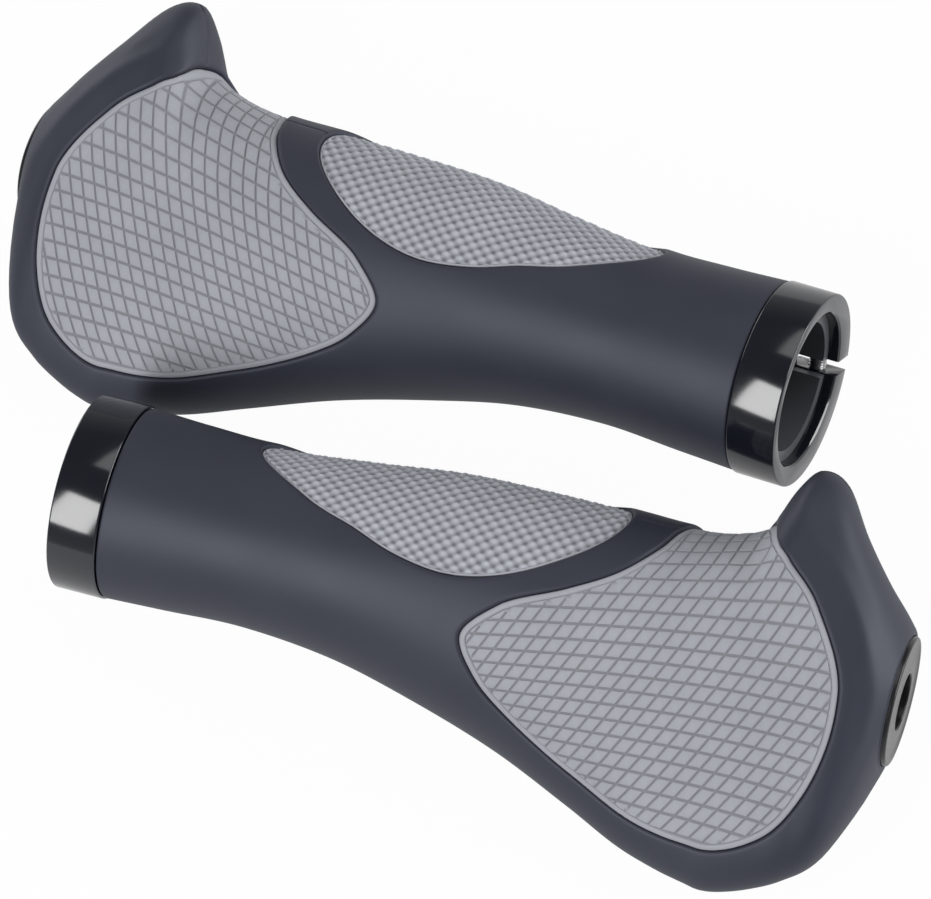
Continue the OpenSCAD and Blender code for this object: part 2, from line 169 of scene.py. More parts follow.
def gripProfiles():
    g = grip
    top, bottom = g["collar"] - g["drop"], g["collar"] + g["drop"]

    def steps(a, b, *shares):
        return [blend(a, b, t) for t in shares]

    shapes = {
        "front": steps(g["neck"], g["collar"], 1, 0.3, 0)
        + steps(g["neck"], g["finger"], 0.42, 0.88, 1, 1, 1)
        + steps(g["finger"], g["horn"], 0.09, 0.29, 0.72, 0.99, 0.9, 0.36)
        + steps(g["lip"], g["finger"], 0.81, 0.3, 0),
        "back": steps(g["waist"], g["collar"], 1, 0.6, 0)
        + steps(g["waist"], g["wing"], 0.06, 0.21, 0.42, 0.68, 0.853, 0.942)
        + steps(g["waist"], g["wing"], 0.982, 1, 0.982, 0.906, 0.777)
        + steps(g["lip"], g["wing"], 0.63, 0.3, 0),
        "top": steps(top, g["waistTop"], 0, 0.6, 1)
        + steps(g["waistTop"], g["palm"], 0.4, 0.7, 0.9, 1, 1, 1, 1, 1)
        + steps(g["lip"], g["palm"], 0.96, 0.91)
        + [max(height, g["padEnd"]) for height in steps(g["lip"], g["palm"], 0.82, 0.66)]
        + steps(g["lip"], g["palm"], 0.36, 0),
        "bottom": steps(bottom, g["belly"], 0, 0.4) + [g["belly"]] * 10
        + steps(g["lip"], g["belly"], 0.97, 0.85, 0.66, 0.38, 0),
        "frontEdge": steps(0, -g["drop"], 1, 0.9, 0.9, 1) + steps(0, -g["belly"], 0.14, 0.19, 0.16, 0.07)
        + steps(0, g["palm"], 0.05, 0.06, 0.14, 0.2, 0.2, 0.27, 0.21, 0.05, 0),
        "backEdge": steps(0, -g["drop"], 1, 1, 0.3) + steps(0, -g["belly"], 0.04, 0.08, 0.04)
        + steps(0, g["palm"], 0.06, 0.17, 0.24, 0.27, 0.29, 0.31, 0.35, 0.4, 0.4, 0.26, 0),
        "frontPower": [2] * 8 + [1.9, 1.75, 1.65, 1.6, 1.6, 1.7, 2, 2, 2],  # 2 is an ellipse
        "backPower": [2] * 4 + [1.8, 1.65, 1.55, 1.5, 1.5, 1.5, 1.5, 1.5, 1.5, 1.6, 1.8, 2, 2],
        "edgeShape": [0, 0, 0.5] + [1] * 14,  # 0 keeps the collar a true circle
    }
    return {name: np.array(values, float) for name, values in shapes.items()}


profiles = gripProfiles()


# smooth value of a profile at f percent of the rubber's length
def along(values, f):
    last = len(stations) - 1
    low, high = np.maximum(np.arange(last + 1) - 1, 0), np.minimum(np.arange(last + 1) + 1, last)
    slope = (values[high] - values[low]) / (stations[high] - stations[low])
    i = np.clip(np.searchsorted(stations, f, side="right") - 1, 0, last - 1)
    h = stations[i + 1] - stations[i]
    u = (f - stations[i]) / h
    return ((2 * u**3 - 3 * u**2 + 1) * values[i] + (u**3 - 2 * u**2 + u) * h * slope[i]
            + (3 * u**2 - 2 * u**3) * values[i + 1] + (u**3 - u**2) * h * slope[i + 1])


# point of the surface; the angle is in degrees, 0 at the front and 90 on top
def skinAt(f, angle):
    f, angle = np.broadcast_arrays(np.asarray(f, float), np.radians(np.asarray(angle, float)))
    p = {name: along(values, f) for name, values in profiles.items()}
    c, s = np.cos(angle), np.sin(angle)
    power = np.where(s >= 0, 2.0, np.where(c >= 0, p["frontPower"], p["backPower"]))
    reach = np.where(c >= 0, p["front"], p["back"])
    edge = np.where(c >= 0, p["frontEdge"], p["backEdge"])
    height = np.where(s >= 0, p["top"], p["bottom"])
    y = reach * np.sign(c) * np.abs(c) ** (2 / power)
    z = edge * blend(1 - np.abs(s), c * c, p["edgeShape"]) + height * np.sign(s) * np.abs(s) ** (2 / power)
    return np.stack([blend(grip["x0"], grip["x1"], f / 100), y, z], -1)


def outwardAt(f, angle, stepF=0.4, stepAngle=1):
    f, angle = np.asarray(f, float), np.asarray(angle, float)
    around = skinAt(f, angle + stepAngle) - skinAt(f, angle - stepAngle)
    forth = skinAt(f + stepF, angle) - skinAt(f - stepF, angle)
    across = np.cross(around, forth)
    return across / np.linalg.norm(across, axis=-1, keepdims=True)


def arcAlong(points):
    return np.concatenate([[0], np.cumsum(np.linalg.norm(np.diff(points, axis=0), axis=1))])


# unrolled coordinates: x along the bar, v the arc from the top line, forward positive
topLine = 90  # degrees
tableF = np.linspace(-1, 101, 205)
tableAngle = np.linspace(-115, 275, 391)
tableV = np.zeros((len(tableF), len(tableAngle)))
for row, place in enumerate(tableF):
    arc = arcAlong(skinAt(np.full(len(tableAngle), place), tableAngle))
    tableV[row] = np.interp(topLine, tableAngle, arc) - arc
flatV = np.linspace(-70, 80, 601)
tableBack = np.array([np.interp(flatV, line[::-1], tableAngle[::-1]) for line in tableV])


# value between the cells of an evenly spaced table
def readTable(table, rows, columns, r, c):
    inside = 1.001  # keeps the next cell within the table
    r = np.clip((r - rows[0]) / (rows[1] - rows[0]), 0, len(rows) - inside)
    c = np.clip((c - columns[0]) / (columns[1] - columns[0]), 0, len(columns) - inside)
    i, j = r.astype(int), c.astype(int)
    u, w = r - i, c - j
    return ((table[i, j] * (1 - u) + table[i + 1, j] * u) * (1 - w)
            + (table[i, j + 1] * (1 - u) + table[i + 1, j + 1] * u) * w)


def percentAt(x):
    return (x - grip["x0"]) / (grip["x1"] - grip["x0"]) * 100


def unroll(f, angle):
    f, angle = np.asarray(f, float), np.asarray(angle, float)
    v = readTable(tableV, tableF, tableAngle, f, angle)
    return np.stack([blend(grip["x0"], grip["x1"], f / 100), v], -1)


def angleOf(flat):
    return readTable(tableBack, tableF, flatV, percentAt(flat[:, 0]), flat[:, 1])


def onSkin(flat, height):
    f, angle = percentAt(flat[:, 0]), angleOf(flat)
    return skinAt(f, angle) + np.asarray(height)[:, None] * outwardAt(f, angle)


def pointsAt(places, arc, points):
    return np.stack([np.interp(places, arc, points[:, k]) for k in (0, 1)], -1)


def evenLoop(points, spacing, fewest=8):
    closed = np.vstack([points, points[:1]])
    arc = arcAlong(closed)
    places = np.linspace(0, arc[-1], max(fewest, int(arc[-1] / spacing)), endpoint=False)
    return pointsAt(places, arc, closed)


# smooth closed curve through an outline of percents and degrees, unrolled
def flatOutline(outline, spacing, steps=24):
    points = np.array(outline, float)
    a, b, c, d = (np.roll(points, k, axis=0)[:, None] for k in (1, 0, -1, -2))
    u = np.linspace(0, 1, steps, endpoint=False)[None, :, None]
    curve = b + 0.5 * u * (c - a + u * (2 * a - 5 * b + 4 * c - d + u * (3 * (b - c) + d - a)))
    curve = curve.reshape(-1, 2)
    loop = evenLoop(unroll(curve[:, 0], curve[:, 1]), spacing)
    area = np.sum(loop[:, 0] * np.roll(loop[:, 1], -1) - np.roll(loop[:, 0], -1) * loop[:, 1])
    return loop if area > 0 else loop[::-1]


def offsetLoop(loop, distance):
    ahead = np.roll(loop, -2, axis=0) - np.roll(loop, 2, axis=0)
    normal = np.stack([ahead[:, 1], -ahead[:, 0]], -1)
    return loop + distance * normal / np.linalg.norm(normal, axis=1, keepdims=True)


# distance from points to a loop, negative inside it, and the nearest place on the loop
def loopDistance(points, loop, batch=2000, tiny=1e-12):
    gaps, nearest = np.zeros(len(points)), np.zeros(len(points), int)
    after = np.roll(loop, -1, axis=0)
    span = after - loop
    rise = np.where(np.abs(span[:, 1]) < tiny, tiny, span[:, 1])
    for start in range(0, len(points), batch):
        part = points[start:start + batch, None]
        u = np.clip(np.sum((part - loop) * span, -1) / np.sum(span * span, -1), 0, 1)
        apart = np.linalg.norm(part - loop - u[..., None] * span, axis=-1)
        crosses = (loop[:, 1] > part[..., 1]) != (after[:, 1] > part[..., 1])
        crossX = loop[:, 0] + (part[..., 1] - loop[:, 1]) / rise * span[:, 0]
        inside = np.sum(crosses & (part[..., 0] < crossX), 1) % 2
        nearest[start:start + batch] = apart.argmin(1)
        gaps[start:start + batch] = apart.min(1) * np.where(inside, -1, 1)
    return gaps, nearest


def loopEdges(start, count):
    return [(start + k, start + (k + 1) % count) for k in range(count)]


# triangles over 2-D points that keep the given edges; kind 1 stays inside the loops
def triangulate(points, edges, kind, nearest=1e-6):
    out = delaunay_2d_cdt([Vector(p) for p in points], edges, [], kind, nearest)
    source = [ids[0] if ids else -1 for ids in out[3]]
    return np.array([tuple(p) for p in out[0]]), source, out[2]


palmPad = {
    "outline": [  # percent of the rubber's length, degrees from the front
        [47.4, 107], [50.1, 124.5], [54.5, 134.8], [60.2, 141.5], [66.7, 145], [73.7, 147],
        [80.6, 145.5], [86.1, 143], [90.3, 136.5], [93.1, 123], [94.4, 106], [94, 89],
        [92.2, 75.5], [89.1, 66], [84.6, 57], [82, 44], [80.8, 23], [79.8, 0], [78, -20],
        [75, -32], [72, -22], [70.3, 0], [69.2, 20], [67.9, 40], [64.5, 60], [59, 75], [51.8, 89.5]],
    "border": [  # mm in from the outline, mm above the rubber's surface
        [0.05, -0.52], [0.1, -0.38], [0.2, -0.31], [0.4, -0.28], [0.62, -0.27], [0.85, -0.28], [1.0, -0.32],
        [1.1, -0.39], [1.18, -0.44]],
    "fieldEdge": 1.27, "top": -0.26, "groove": -0.46, "depths": (0.2, 0.2), "frontDrop": 0.4, "base": -1.5,
    # the last two set the painted shade in the grooves and the colour on the crests
    "half": 0.045, "wall": 0.055, "crown": 0.04, "beaded": False, "tone": 1.0, "paintedCrestLight": 1.0,
    "lines": [0.045, 0.10, 0.17, 0.5, 0.83, 0.90, 0.955],  # places of mesh lines between two grooves
    "middle": (105.0, -6.0), "reach": (30, 20),  # mm, the field's centre and half its size
    "farEnds": (-1.2, 1.2), "overEnds": (-1.3, 1.05),
    "rowPitch": 2.82, "rowFrom": 95, "rowLean": 0.18, "rowBow": 0.00218, "rowClose": 0.004,
    "fanFrom": 110, "fan": 0.0025, "rowDrift": (-0.08, -0.1, 0.13, 0.02, 0.22, -0.48, -0.38, -0.3),
    "columnPitch": 2.45, "columnLean": 0.57, "bendFrom": -8, "bendSpan": 30, "bend": (0.0025, 0.000133),
    "foldFrom": 22, "fold": 0.51, "columnDrift": (0.2, -0.19, 0.11, 0.53, -0.05, -0.33, 0.12, -0.3),
}
fingerPad = {
    "outline": [
        [16.1, 12], [17.4, 34], [24.7, 58.5], [31.2, 70], [36.8, 79], [43.3, 83], [49.3, 78.8], [55, 68],
        [60.2, 51], [62.7, 33], [62.7, 12], [60.2, -8], [53.8, -24], [42, -34], [29, -30], [20, -14]],
    "border": [[0.05, -0.54], [0.08, -0.38], [0.14, -0.29], [0.25, -0.25], [0.36, -0.27], [0.42, -0.32]],
    "fieldEdge": 0.48, "top": -0.08, "groove": -0.58, "depths": (0.27, 0.27), "frontDrop": 0.45, "base": -1.4,
    # the last two set painted shade in the valleys between the beads and painted light on their crests
    "half": 0.0, "wall": 0.46, "crown": 0.0, "beaded": True, "tone": 1.9, "paintedCrestLight": 1.7,
    "lines": [0.0, 0.08, 0.18, 0.28, 0.39, 0.5, 0.61, 0.72, 0.82, 0.92],
    "middle": (64.0, 12.0), "reach": (22, 6), "farEnds": (-1.7, 1.7), "overEnds": (-1.7, 1.5),
    "pitch": 2.48, "openFrom": 11, "open": 0.44, "close": 0.00625, "closeSpan": 8,
    "firstDrift": (-0.336, 0.109, 0, 0.009, 0.016, 0, -0.234, -0.69),
    "secondDrift": (0.425, -0.075, 0, -0.125, -0.085, 0, 0.155, -0.79),
}
padMesh = {
    "spacing": 0.3, "rimSpacing": 0.2, "fieldGap": 0.07, "dropFrom": 9, "dropWidth": 10,  # mm
    "underX": (10, 144), "underV": (-50, 70), "underStep": 3.0, "underEdge": 1.5,
    "smooth": 38,  # degrees
}


# height of a grooved pad, from how far its two sets of lines have run
def reliefOf(spec, phases):
    drops = []
    for phase, depth in zip(phases, spec["depths"]):
        off = np.abs(phase - np.round(phase))  # 0 in the groove, 0.5 on the crest
        rise = ramp(off, spec["half"], spec["wall"])
        if spec["beaded"]:
            rise = rise * rise * (3 - 2 * rise)
        dip = spec["crown"] * np.clip((0.5 - off) / (0.5 - spec["half"] - spec["wall"]), 0, 1) ** 2
        drops.append(depth * (1 - rise) + dip * rise)
    return spec["top"] - (drops[0] + drops[1] if spec["beaded"] else np.maximum(*drops))


# place within a pad's field, in shares of its reach along the bar and round it
def fieldPlace(spec, x, v):
    far = np.clip((x - spec["middle"][0]) / spec["reach"][0], *spec["farEnds"])
    over = np.clip((v - spec["middle"][1]) / spec["reach"][1], *spec["overEnds"])
    return far, over


# slow drift of a set of lines over the field, counted in grooves
def drift(terms, far, over):
    a, b, c, d, e, g, h, start = terms
    return a * far + b * far**2 + c * far**3 + d * over + e * over**2 + g * over**3 + h * far * over + start


# the palm's long curved rows and leaning columns, counted in grooves
def palmPhases(x, v):
    p = palmPad
    place = fieldPlace(p, x, v)
    ahead = x - p["rowFrom"]
    climb = v - p["rowLean"] * ahead + p["rowBow"] * ahead**2
    rows = (climb - p["rowClose"] * climb**2) * np.exp(-p["fan"] * (x - p["fanFrom"])) / p["rowPitch"]
    bend = np.clip(v - p["bendFrom"], 0, p["bendSpan"])
    lean = x - p["columnLean"] * v + p["bend"][0] * bend**2 + p["bend"][1] * bend**3
    columns = (lean + p["fold"] * np.maximum(v - p["foldFrom"], 0)) / p["columnPitch"]
    return rows + drift(p["rowDrift"], *place), columns + drift(p["columnDrift"], *place)


# the finger pad's diamonds, which open out towards the front
def fingerPhases(x, v):
    p = fingerPad
    place = fieldPlace(p, x, v)
    up = v - p["openFrom"]
    eased = np.minimum(up, p["closeSpan"])  # runs straight on from there
    spread = p["open"] * eased - p["close"] * eased**2
    spread = spread + (p["open"] - 2 * p["close"] * p["closeSpan"]) * (up - eased)
    count = x / p["pitch"]
    return count + spread + drift(p["firstDrift"], *place), count - spread + drift(p["secondDrift"], *place)


newton = {"steps": 40, "nudge": 0.01, "longest": 6, "flattest": 1e-6, "miss": 1e-3, "lost": -999}


# where two sets of lines cross, by Newton's steps; places that don't settle are lost
def crossings(phases, first, second, x, v):
    x, v = np.full(first.shape, x), np.full(first.shape, v)
    nudge, longest = newton["nudge"], newton["longest"]
    for step in range(newton["steps"]):
        here, alongX, alongV = phases(x, v), phases(x + nudge, v), phases(x, v + nudge)
        a, b, c, d = ((q[k] - here[k]) / nudge for k in (0, 1) for q in (alongX, alongV))
        missA, missB, size = first - here[0], second - here[1], a * d - b * c
        size = np.where(np.abs(size) < newton["flattest"], newton["flattest"], size)
        x = x + np.clip((d * missA - b * missB) / size, -longest, longest)
        v = v + np.clip((a * missB - c * missA) / size, -longest, longest)
    settled = np.abs(missA) + np.abs(missB) < newton["miss"]
    return np.stack([np.where(settled, q, newton["lost"]) for q in (x, v)], -1)


# an inlay as one closed mesh: border lip, grooved field, side wall and base
def buildPad(title, spec, phases):
    def relief(flat):
        return reliefOf(spec, phases(flat[:, 0], flat[:, 1]))

    outline = flatOutline(spec["outline"], padMesh["spacing"])
    flats = [offsetLoop(outline, -inset) for inset, level in spec["border"]]
    heights = [np.full(len(outline), level) for inset, level in spec["border"]]
    rim = evenLoop(offsetLoop(outline, -spec["fieldEdge"]), padMesh["rimSpacing"])
    flats.append(rim)
    heights.append(relief(rim))
    edges, total = [], 0
    for loop in flats:
        edges += loopEdges(total, len(loop))
        total += len(loop)
    runs = []
    for phase in phases(outline[:, 0], outline[:, 1]):
        grooves = range(int(phase.min()) - 1, int(phase.max()) + 2)
        runs.append(np.array([groove + part for groove in grooves for part in spec["lines"]]))
    first, second = np.meshgrid(*runs, indexing="ij")
    lattice = crossings(phases, first, second, *spec["middle"])
    gap = loopDistance(lattice.reshape(-1, 2), outline)[0].reshape(first.shape)
    keep = gap < -spec["fieldEdge"] - padMesh["fieldGap"]
    number = np.full(first.shape, -1)
    number[keep] = total + np.arange(keep.sum())
    flats.append(lattice[keep])
    heights.append(relief(lattice[keep]))
    for near, far in ((number[1:], number[:-1]), (number[:, 1:], number[:, :-1])):
        both = (near >= 0) & (far >= 0)
        edges += list(zip(near[both].tolist(), far[both].tolist()))
    spots, source, topFaces = triangulate(np.vstack(flats), edges, 1)
    known = np.concatenate(heights)
    height = np.array([known[s] if s >= 0 else np.nan for s in source])
    loose = np.isnan(height)
    if loose.any():
        height[loose] = relief(spots[loose])
    count, shift = len(outline), len(spots)
    xs, vs = (np.arange(*padMesh[ends], padMesh["underStep"]) for ends in ("underX", "underV"))
    inner = np.array([(x, v) for x in xs for v in vs])
    inner = inner[loopDistance(inner, outline)[0] < -padMesh["underEdge"]]
    under, underSource, underFaces = triangulate(np.vstack([flats[0], inner]), loopEdges(0, count), 1)
    sunk = height - spec["frontDrop"] * ramp(spots[:, 1], padMesh["dropFrom"], padMesh["dropWidth"])
    points = np.vstack([onSkin(spots, sunk), onSkin(under, np.full(len(under), spec["base"]))])
    faces = [list(f) for f in topFaces] + [[k + shift for k in f][::-1] for f in underFaces]
    upper = {s: k for k, s in enumerate(source) if 0 <= s < count}
    lower = {s: k + shift for k, s in enumerate(underSource) if 0 <= s < count}
    for k, n in loopEdges(0, count):
        faces.append([upper[n], upper[k], lower[k], lower[n]])
    piece = meshPiece(title, points, faces)
    # the relief attribute carries painted shade for the grooves and painted light for raised crests, as a
    # share of the pad's colour
    shade = piece.data.attributes.new("relief", "FLOAT", "POINT")
    depth = ramp(spec["top"] - height, 0, spec["top"] - spec["groove"])
    level = np.concatenate([spec["paintedCrestLight"] - spec["tone"] * depth, np.zeros(len(under))])
    shade.data.foreach_set("value", level.astype(np.float32))
    smoothPiece(piece, padMesh["smooth"])
    pointOutwards(piece)
    print(title, "pad built,", len(piece.data.polygons), "faces")
    return piece, outline


rubber = {
    "stepX": 0.75, "stepAngle": 2.5, "weldAngle": -100.0, "aspect": 0.32,  # mm, degrees, mm to a degree
    "ringClear": 0.6, "plugClear": 0.4, "rimClear": 0.35, "seamClear": 0.5,  # mm kept free of plain grid
    "pocket": -1.6, "pocketEdge": 0.8, "smooth": 55,
    "rim": [  # mm out from the pad's outline, mm above the surface
        [2.3, 0], [1.6, 0], [1.1, 0], [0.78, -0.005], [0.55, -0.03], [0.36, -0.09], [0.2, -0.2],
        [0.09, -0.36], [0.03, -0.6], [0.0, -1.2], [-0.03, -1.6]],
    "ringEnd": [[0, -0.24], [0.06, -0.13], [0.15, -0.06], [0.3, -0.015], [0.5, 0]],
    "plugEnd": [[0, -0.30], [0.05, -0.18], [0.14, -0.08], [0.3, -0.02], [0.5, 0]],
    "bore": 13.18, "boreEnd": 138.03, "lipBore": 11.05, "lipSet": 0.1,
    "rimLift": 0.12, "rimReach": 3.0, "liftEdge": 0.15,  # mm
    "palmRidge": (105, -6), "fingerMiddle": 62, "fingerRidge": (20, 6),  # start and width, mm
    "ridgeFront": (34, -10), "ridgeTop": (8, 8),
    "crease": 0.32, "creaseOut": 5.4, "creaseWidth": 1.4, "creaseSoft": 6,
    "creaseOuter": (112, 8), "creaseBack": (-18, 14), "creaseFront": (34, -8),
    "seams": [  # the mould's parting line, in percents and degrees
        [[62.4, 23.5], [63.6, 21], [65.5, 20], [67.6, 19], [69.6, 18.6]],
        [[80.7, 19], [81.3, 15.5], [82.1, 11.5], [83.1, 8], [84.6, 5], [86.5, 4], [88.5, 4.5]]],
    "seamHalf": 0.24, "seamDepth": 0.2, "seamStep": 0.2, "seamPadGap": 0.12,
}


# how far the surface dips beside the pads, before the pockets
def rimLevel(flat, outlines):
    outs, levels = np.array(rubber["rim"])[::-1].T
    return np.min([np.interp(loopDistance(flat, outline)[0], outs, levels) for outline in outlines], axis=0)


def seamPaths():
    for seam in rubber["seams"]:
        path = unroll(*np.array(seam).T)
        arc = arcAlong(path)
        yield pointsAt(np.linspace(0, arc[-1], int(arc[-1] / rubber["seamStep"])), arc, path)


def seamDistance(flat, seams):
    return np.min([np.linalg.norm(flat - spot, axis=1) for seam in seams for spot in seam], axis=0)


# the parting line's bed and its two edges, left out where they meet a pad
def seamLines(seams, outlines):
    for seam in seams:
        ahead = np.gradient(seam, axis=0)
        across = np.stack([ahead[:, 1], -ahead[:, 0]], -1) / np.linalg.norm(ahead, axis=1, keepdims=True)
        for out in (-rubber["seamHalf"], 0, rubber["seamHalf"]):
            line = seam + out * across
            clear = [loopDistance(line, outline)[0] > rubber["seamPadGap"] for outline in outlines]
            yield line[np.all(clear, axis=0)]


# the rim stands up in front of each pad, and a soft crease runs round the palm's outer end
def rimLifts(flat, palm, finger):
    spec = rubber
    for outline in (palm, finger):
        gap, nearest = loopDistance(flat, outline)
        atX, atV = outline[nearest].T
        if outline is palm:
            ridge = ramp(atX, *spec["palmRidge"])
        else:
            ridge = ramp(np.abs(atX - spec["fingerMiddle"]), *spec["fingerRidge"])
        ridge = ridge * ramp(flat[:, 1], *spec["ridgeFront"])
        swell = np.exp(-(gap / spec["rimReach"]) ** 2)
        lift = spec["rimLift"] * ridge * swell * ramp(flat[:, 1], *spec["ridgeTop"])
        if outline is palm:
            fade = ramp(atX, *spec["creaseOuter"]) * ramp(atV, *spec["creaseBack"])
            fade = fade * ramp(atV, *spec["creaseFront"])
            away = ((gap - spec["creaseOut"]) / spec["creaseWidth"]) ** 2
            lift += spec["crease"] * fade * (np.exp(-away) - np.exp(-away / spec["creaseSoft"]))
        yield np.where(gap > spec["liftEdge"], lift, 0)


# the rubber as one closed skin, with the pad pockets let into it
def buildRubber(palm, finger):
    spec = rubber
    outlines = (palm, finger)
    ringEnd, plugEnd = np.array(spec["ringEnd"]), np.array(spec["plugEnd"])[::-1]
    starts, stops = grip["x0"] + ringEnd[:, 0], grip["x1"] - plugEnd[:, 0]
    between = np.arange(starts[-1] + spec["ringClear"], stops[0] - spec["plugClear"], spec["stepX"])
    xs = np.concatenate([starts, between, stops])
    ends = np.concatenate([ringEnd[:, 1], np.zeros(len(between)), plugEnd[:, 1]])
    angles = np.arange(spec["weldAngle"], spec["weldAngle"] + 360 + spec["stepAngle"] / 2, spec["stepAngle"])
    gridX, gridAngle = (g.ravel() for g in np.meshgrid(xs, angles, indexing="ij"))
    height = np.repeat(ends, len(angles))
    flat = unroll(percentAt(gridX), gridAngle)
    seams = list(seamPaths())
    keep = seamDistance(flat, seams) > spec["seamClear"]
    for outline in outlines:
        gap = loopDistance(flat, outline)[0]
        coarse = (np.arange(len(gridX)) % 2 == 0) & (gap < -spec["pocketEdge"])
        keep &= (gap > spec["rim"][0][0] + spec["rimClear"]) | coarse
        height = np.where(gap < 0, spec["pocket"], height)
    points, heights = [np.stack([gridX, gridAngle], -1)[keep]], [height[keep]]
    total = int(keep.sum())
    number = np.full(len(gridX), -1)
    number[keep] = np.arange(total)
    number = number.reshape(len(xs), len(angles))
    sides = (number[0], number[-1], number[:, 0], number[:, -1])
    edges = [(int(a), int(b)) for line in sides for a, b in zip(line[:-1], line[1:])]
    for outline in outlines:
        for out, level in spec["rim"]:
            loop = offsetLoop(outline, out)
            points.append(np.stack([loop[:, 0], angleOf(loop)], -1))
            heights.append(np.full(len(loop), level))
            edges += loopEdges(total, len(loop))
            total += len(loop)
    for line in seamLines(seams, outlines):
        points.append(np.stack([line[:, 0], angleOf(line)], -1))
        heights.append(rimLevel(line, outlines))
        edges += [(total + k, total + k + 1) for k in range(len(line) - 1)]
        total += len(line)
    spots, source, faces = triangulate(np.vstack(points) * [1, spec["aspect"]], edges, 0)
    f, angle = percentAt(spots[:, 0]), spots[:, 1] / spec["aspect"]
    flat = unroll(f, angle)
    known = np.concatenate(heights)
    height = np.array([known[s] if s >= 0 else 0 for s in source])
    met = np.array(source) < 0  # where two lines cross
    if met.any():
        height[met] = rimLevel(flat[met], outlines)
    height -= spec["seamDepth"] * np.clip(1 - seamDistance(flat, seams) / spec["seamHalf"], 0, 1)
    for lift in rimLifts(flat, palm, finger):
        height += lift
    body = skinAt(f, angle) + height[:, None] * outwardAt(f, angle)
    place = {s: k for k, s in enumerate(source) if s >= 0}
    weld = np.arange(len(body))
    for a, b in zip(number[:, 0], number[:, -1]):
        weld[place[int(b)]] = place[int(a)]
    faces = [[int(weld[k]) for k in face] for face in faces]
    turn = np.radians(angles[:-1])  # the bore's wall, from the ring's end to the plug's
    walls = ((spec["bore"], grip["x0"]), (spec["bore"], spec["boreEnd"]),
             (spec["lipBore"], spec["boreEnd"]), (spec["lipBore"], grip["x1"] - spec["lipSet"]))
    lines = [[place[int(k)] for k in number[0][:-1]]]
    for radius, x in walls:
        lines.append([len(body) + k for k in range(len(turn))])
        circle = np.stack([np.full(len(turn), x), radius * np.cos(turn), radius * np.sin(turn)], -1)
        body = np.vstack([body, circle])
    lines.append([place[int(k)] for k in number[-1][:-1]])
    for near, far in zip(lines[:-1], lines[1:]):
        for k, n in loopEdges(0, len(turn)):
            faces.append([near[k], near[n], far[n], far[k]])
    piece = meshPiece("rubber", body, faces)
    editAll(piece)
    bpy.ops.mesh.delete_loose()
    pointOutwards(piece)
    smoothPiece(piece, spec["smooth"])
    print("rubber built,", len(piece.data.polygons), "faces")
    return piece


palmModel, palmLoop = buildPad("palm", palmPad, palmPhases)
fingerModel, fingerLoop = buildPad("finger", fingerPad, fingerPhases)
rubberModel = buildRubber(palmLoop, fingerLoop)


# a profile of (x, radius) points spun round the bar's axis
def spun(name, profile, steps):
    points = [(x, r, 0) for x, r in profile]
    piece = meshPiece(name, points, [], [(k, k + 1) for k in range(len(points) - 1)])
    editAll(piece)
    bpy.ops.mesh.spin(steps=steps, angle=2 * math.pi, center=(0, 0, 0), axis=(1, 0, 0), use_auto_merge=True)
    pointOutwards(piece)
    return piece


# a round or six-sided rod up z
def rod(radius, low, high, sides):
    clearSelection()
    middle = (0, 0, (low + high) / 2)
    bpy.ops.mesh.primitive_cylinder_add(vertices=sides, radius=radius, depth=high - low, location=middle)
    piece = bpy.context.object
    applyPlace(piece)
    return piece


clamp = {
    "radius": 16.65, "drop": 1.6, "width": 8.5, "bore": 13.2, "edge": 0.3, "boreEdge": 0.3,  # mm
    "split": 2.6, "splitAngle": 20.0, "splitReach": 40, "bolt": 1.55, "head": 2.55, "seat": 2.6,
    "thread": 5.5, "boltReach": 15.54, "pocketReach": 20, "overcut": 1,
    "sides": 256, "holeSides": 48, "edgeSteps": 4,
    "soften": 0.12, "softenSteps": 2, "softenAngle": 40, "smooth": 32,
}


# carries a model drawn up z from the split's middle to the bolt's place, head forward
def boltPlace(piece):
    turn = math.radians(clamp["splitAngle"] - 90)
    outward = Vector((0, math.cos(turn), math.sin(turn)))  # from the bar's middle to the bolt
    upBolt = Vector((0, -math.sin(turn), math.cos(turn)))  # towards the head
    place = Matrix((outward.cross(upBolt), outward, upBolt)).transposed().to_4x4()
    place.translation = outward * clamp["boltReach"] + Vector((clamp["width"] / 2, 0, 0))
    if place.determinant() < 0:
        place = place @ Matrix.Diagonal((-1, 1, 1, 1))
    piece.data.transform(place)


def buildRing():
    spec = clamp
    width, bore, over = spec["width"], spec["bore"], spec["overcut"]
    clearSelection()
    bpy.ops.mesh.primitive_cylinder_add(
        vertices=spec["sides"], radius=spec["radius"], depth=width,
        location=(width / 2, 0, -spec["drop"]), rotation=(0, math.pi / 2, 0))
    ring = bpy.context.object
    applyPlace(ring)
    bevelEdges(ring, spec["edge"], spec["edgeSteps"],
               lambda e: abs(e.verts[0].co.x - e.verts[1].co.x) < levelGap)
    mouth = bore + over + spec["boreEdge"]
    profile = [(-over, 0), (-over, mouth), (spec["boreEdge"], bore),
               (width - spec["boreEdge"], bore), (width + over, mouth), (width + over, 0)]
    cutAway(ring, spun("bore", profile, spec["sides"]))
    clearSelection()
    bpy.ops.mesh.primitive_cube_add(size=1, location=(width / 2, spec["splitReach"] / 2, 0))
    gap = bpy.context.object
    gap.scale = (width + 2 * over, spec["splitReach"], spec["split"])
    applyPlace(gap)
    gap.data.transform(turned(spec["splitAngle"] - 90, "X"))
    cutAway(ring, gap)
    holes = ((spec["bolt"], -spec["thread"], spec["seat"] + over),
             (spec["head"], spec["seat"], spec["seat"] + spec["pocketReach"]))
    for radius, low, high in holes:
        hole = rod(radius, low, high, spec["holeSides"])
        boltPlace(hole)
        cutAway(ring, hole)
    soften = ring.modifiers.new("soften", "BEVEL")
    soften.width = spec["soften"]
    soften.segments = spec["softenSteps"]
    soften.limit_method = "ANGLE"
    soften.angle_limit = math.radians(spec["softenAngle"])
    pick(ring)
    bpy.ops.object.modifier_apply(modifier=soften.name)
    pointOutwards(ring)
    smoothPiece(ring, spec["smooth"])
    return ring


